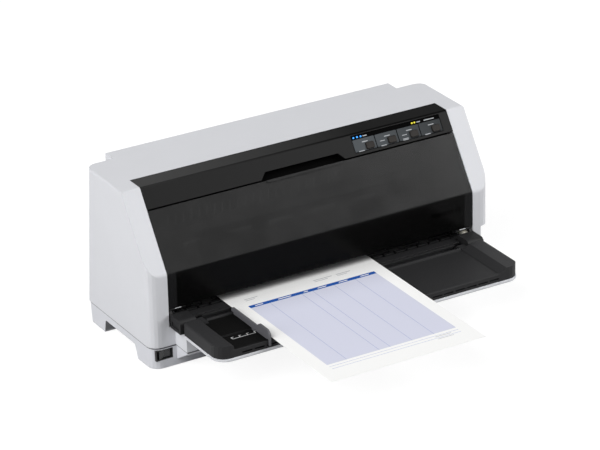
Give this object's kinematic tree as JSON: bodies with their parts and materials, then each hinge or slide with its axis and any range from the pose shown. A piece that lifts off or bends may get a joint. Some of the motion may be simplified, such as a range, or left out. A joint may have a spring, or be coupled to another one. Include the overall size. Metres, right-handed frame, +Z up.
{
  "type": "dot matrix printer",
  "caption": "Flat-bed dot matrix printer with a hinged smoked cover, folding sheet tray, sliding edge guide, push buttons, moving print carriage and geared paper feed.",
  "frame": {"origin": "middle of the outer box in plan, on the surface the printer stands on", "axes": "+X to the right seen from the front, +Y to the rear, +Z up"},
  "size_m": [0.48, 0.422, 0.212],
  "materials": {
    "casing_plastic": "fine moulded texture",
    "base_plastic": "fine moulded texture",
    "foot_rubber": "soft matt",
    "screw_steel": "zinc plated",
    "strip_plastic": "satin",
    "label_grey": "satin",
    "button_plastic": "satin",
    "blue_lamp": "clear lens",
    "yellow_lamp": "clear lens",
    "circuit_board": "solder mask",
    "power_circuit": "laminate",
    "smoked_plastic": "polished, translucent",
    "pin_steel": "bright",
    "tray_plastic": "fine moulded texture",
    "plate_plastic": "fine moulded texture",
    "guide_plastic": "satin",
    "paper": "matt",
    "switch_plastic": "satin",
    "frame_steel": "zinc plated",
    "inner_plastic": "satin",
    "platen_plastic": "satin",
    "roller_rubber": "soft matt",
    "pinch_plastic": "satin",
    "gear_plastic": "natural acetal",
    "knob_plastic": "satin",
    "brass": "turned",
    "motor_steel": "zinc plated",
    "shaft_steel": "ground",
    "head_aluminium": "cast",
    "mask_plastic": "satin",
    "ribbon_fabric": "inked nylon",
    "belt_rubber": "soft matt",
    "port_metal": "nickel plated"
  },
  "bodies": {
    "chassis": {"base_casing": "base_plastic", "upper_casing": "casing_plastic", "connector_housing": "casing_plastic", "socket_plates": "frame_steel", "rubber_feet": "foot_rubber", "case_screws": "screw_steel", "control_strip": "strip_plastic", "label_plates": "label_grey", "blue_lamps": "blue_lamp", "yellow_lamps": "yellow_lamp", "control_board": "circuit_board", "cover_pins": "pin_steel", "tray_brackets": "inner_plastic", "tray_pins": "pin_steel", "paper_sheet": "paper", "rocker_housing": "switch_plastic", "left_side_frame": "frame_steel", "right_side_frame": "frame_steel", "lower_paper_guide": "inner_plastic", "pinch_holder": "inner_plastic", "platen_bar": "platen_plastic", "feed_motor": "motor_steel", "carriage_shaft": "shaft_steel", "rear_beam": "frame_steel", "ribbon_cartridge": "inner_plastic", "ribbon_band": "ribbon_fabric", "carriage_motor": "motor_steel", "timing_belt": "belt_rubber", "main_board": "circuit_board", "power_board": "power_circuit", "power_inlet": "switch_plastic", "parallel_port": "port_metal", "usb_port": "port_metal"},
    "front_cover": {"front_cover": "smoked_plastic"},
    "sheet_tray": {"sheet_tray": "tray_plastic", "tray_underplate": "plate_plastic"},
    "edge_guide": {"edge_guide": "guide_plastic"},
    "button_1": {"button_1": "button_plastic"},
    "button_2": {"button_2": "button_plastic"},
    "button_3": {"button_3": "button_plastic"},
    "button_4": {"button_4": "button_plastic"},
    "power_rocker": {"power_rocker": "switch_plastic"},
    "carriage": {"carriage": "inner_plastic", "print_head": "head_aluminium", "ribbon_mask": "mask_plastic"},
    "drive_pulley": {"drive_pulley": "brass"},
    "idler_pulley": {"idler_pulley": "pinch_plastic"},
    "front_feed": {"front_feed_roller": "roller_rubber", "front_feed_gear": "gear_plastic"},
    "rear_feed": {"rear_feed_roller": "roller_rubber", "rear_feed_gear": "gear_plastic"},
    "feed_knob": {"feed_knob": "knob_plastic", "idler_gear": "gear_plastic"},
    "motor_pinion": {"motor_pinion": "brass"},
    "front_pinch": {"front_pinch_roller": "pinch_plastic"},
    "rear_pinch": {"rear_pinch_roller": "pinch_plastic"},
    "ribbon_knob": {"ribbon_knob": "knob_plastic"},
    "gap_lever": {"gap_lever": "mask_plastic"}
  },
  "joints": [
    {"name": "cover_hinge", "type": "hinge", "parent": "chassis", "child": "front_cover", "pos_m": [0, 0.0384, 0.074], "axis": [1, 0, 0], "range_deg": [0, 75]},
    {"name": "tray_fold", "type": "hinge", "parent": "chassis", "child": "sheet_tray", "pos_m": [0, 0.017, 0.06], "axis": [1, 0, 0], "range_deg": [-90, 0], "deforming": ["paper_sheet"]},
    {"name": "guide_slide", "type": "slide", "parent": "sheet_tray", "child": "edge_guide", "axis": [1, 0, 0], "range_m": [-0.036, 0]},
    {"name": "button_1_press", "type": "slide", "parent": "chassis", "child": "button_1", "axis": [0, 0.8321, -0.5547], "range_m": [0, 0.0012], "stiffness_N_per_m": 400, "springref_m": -0.0005},
    {"name": "button_2_press", "type": "slide", "parent": "chassis", "child": "button_2", "axis": [0, 0.8321, -0.5547], "range_m": [0, 0.0012], "stiffness_N_per_m": 400, "springref_m": -0.0005},
    {"name": "button_3_press", "type": "slide", "parent": "chassis", "child": "button_3", "axis": [0, 0.8321, -0.5547], "range_m": [0, 0.0012], "stiffness_N_per_m": 400, "springref_m": -0.0005},
    {"name": "button_4_press", "type": "slide", "parent": "chassis", "child": "button_4", "axis": [0, 0.8321, -0.5547], "range_m": [0, 0.0012], "stiffness_N_per_m": 400, "springref_m": -0.0005},
    {"name": "rocker_tilt", "type": "hinge", "parent": "chassis", "child": "power_rocker", "pos_m": [-0.2228, 0.044, 0.019], "axis": [0, 0, 1], "range_deg": [-16, 0]},
    {"name": "carriage_slide", "type": "slide", "parent": "chassis", "child": "carriage", "axis": [1, 0, 0], "range_m": [-0.028, 0.25]},
    {"name": "drive_pulley_spin", "type": "hinge", "parent": "chassis", "child": "drive_pulley", "pos_m": [-0.168, 0.134, 0.105], "axis": [0, 1, 0], "range_deg": [-2160, 360]},
    {"name": "idler_pulley_spin", "type": "hinge", "parent": "chassis", "child": "idler_pulley", "pos_m": [0.176, 0.134, 0.105], "axis": [0, 1, 0], "range_deg": [-2160, 360]},
    {"name": "front_feed_turn", "type": "hinge", "parent": "chassis", "child": "front_feed", "pos_m": [0, 0.057, 0.0594], "axis": [1, 0, 0], "continuous": true},
    {"name": "rear_feed_turn", "type": "hinge", "parent": "chassis", "child": "rear_feed", "pos_m": [0, 0.141, 0.0594], "axis": [1, 0, 0], "continuous": true},
    {"name": "knob_turn", "type": "hinge", "parent": "chassis", "child": "feed_knob", "pos_m": [0, 0.099, 0.04595], "axis": [1, 0, 0], "continuous": true},
    {"name": "pinion_turn", "type": "hinge", "parent": "chassis", "child": "motor_pinion", "pos_m": [0, 0.12286, 0.026], "axis": [1, 0, 0], "continuous": true},
    {"name": "front_pinch_turn", "type": "hinge", "parent": "chassis", "child": "front_pinch", "pos_m": [0, 0.057, 0.0713], "axis": [1, 0, 0], "continuous": true},
    {"name": "rear_pinch_turn", "type": "hinge", "parent": "chassis", "child": "rear_pinch", "pos_m": [0, 0.141, 0.0713], "axis": [1, 0, 0], "continuous": true},
    {"name": "ribbon_knob_turn", "type": "hinge", "parent": "chassis", "child": "ribbon_knob", "pos_m": [-0.15, 0.062, 0.1], "axis": [0, 0, 1], "continuous": true},
    {"name": "gap_lever_tilt", "type": "hinge", "parent": "chassis", "child": "gap_lever", "pos_m": [-0.1984, 0.119, 0.092], "axis": [1, 0, 0], "range_deg": [0, 20]}
  ],
  "couplings": [
    {"joint": "drive_pulley_spin", "follows": "carriage_slide", "rad_per_m": -125},
    {"joint": "idler_pulley_spin", "follows": "carriage_slide", "rad_per_m": -125},
    {"joint": "rear_feed_turn", "follows": "front_feed_turn", "ratio": 1},
    {"joint": "knob_turn", "follows": "front_feed_turn", "ratio": -0.83333},
    {"joint": "pinion_turn", "follows": "front_feed_turn", "ratio": 2.8571},
    {"joint": "front_pinch_turn", "follows": "front_feed_turn", "ratio": -1.2},
    {"joint": "rear_pinch_turn", "follows": "front_feed_turn", "ratio": -1.2}
  ]
}
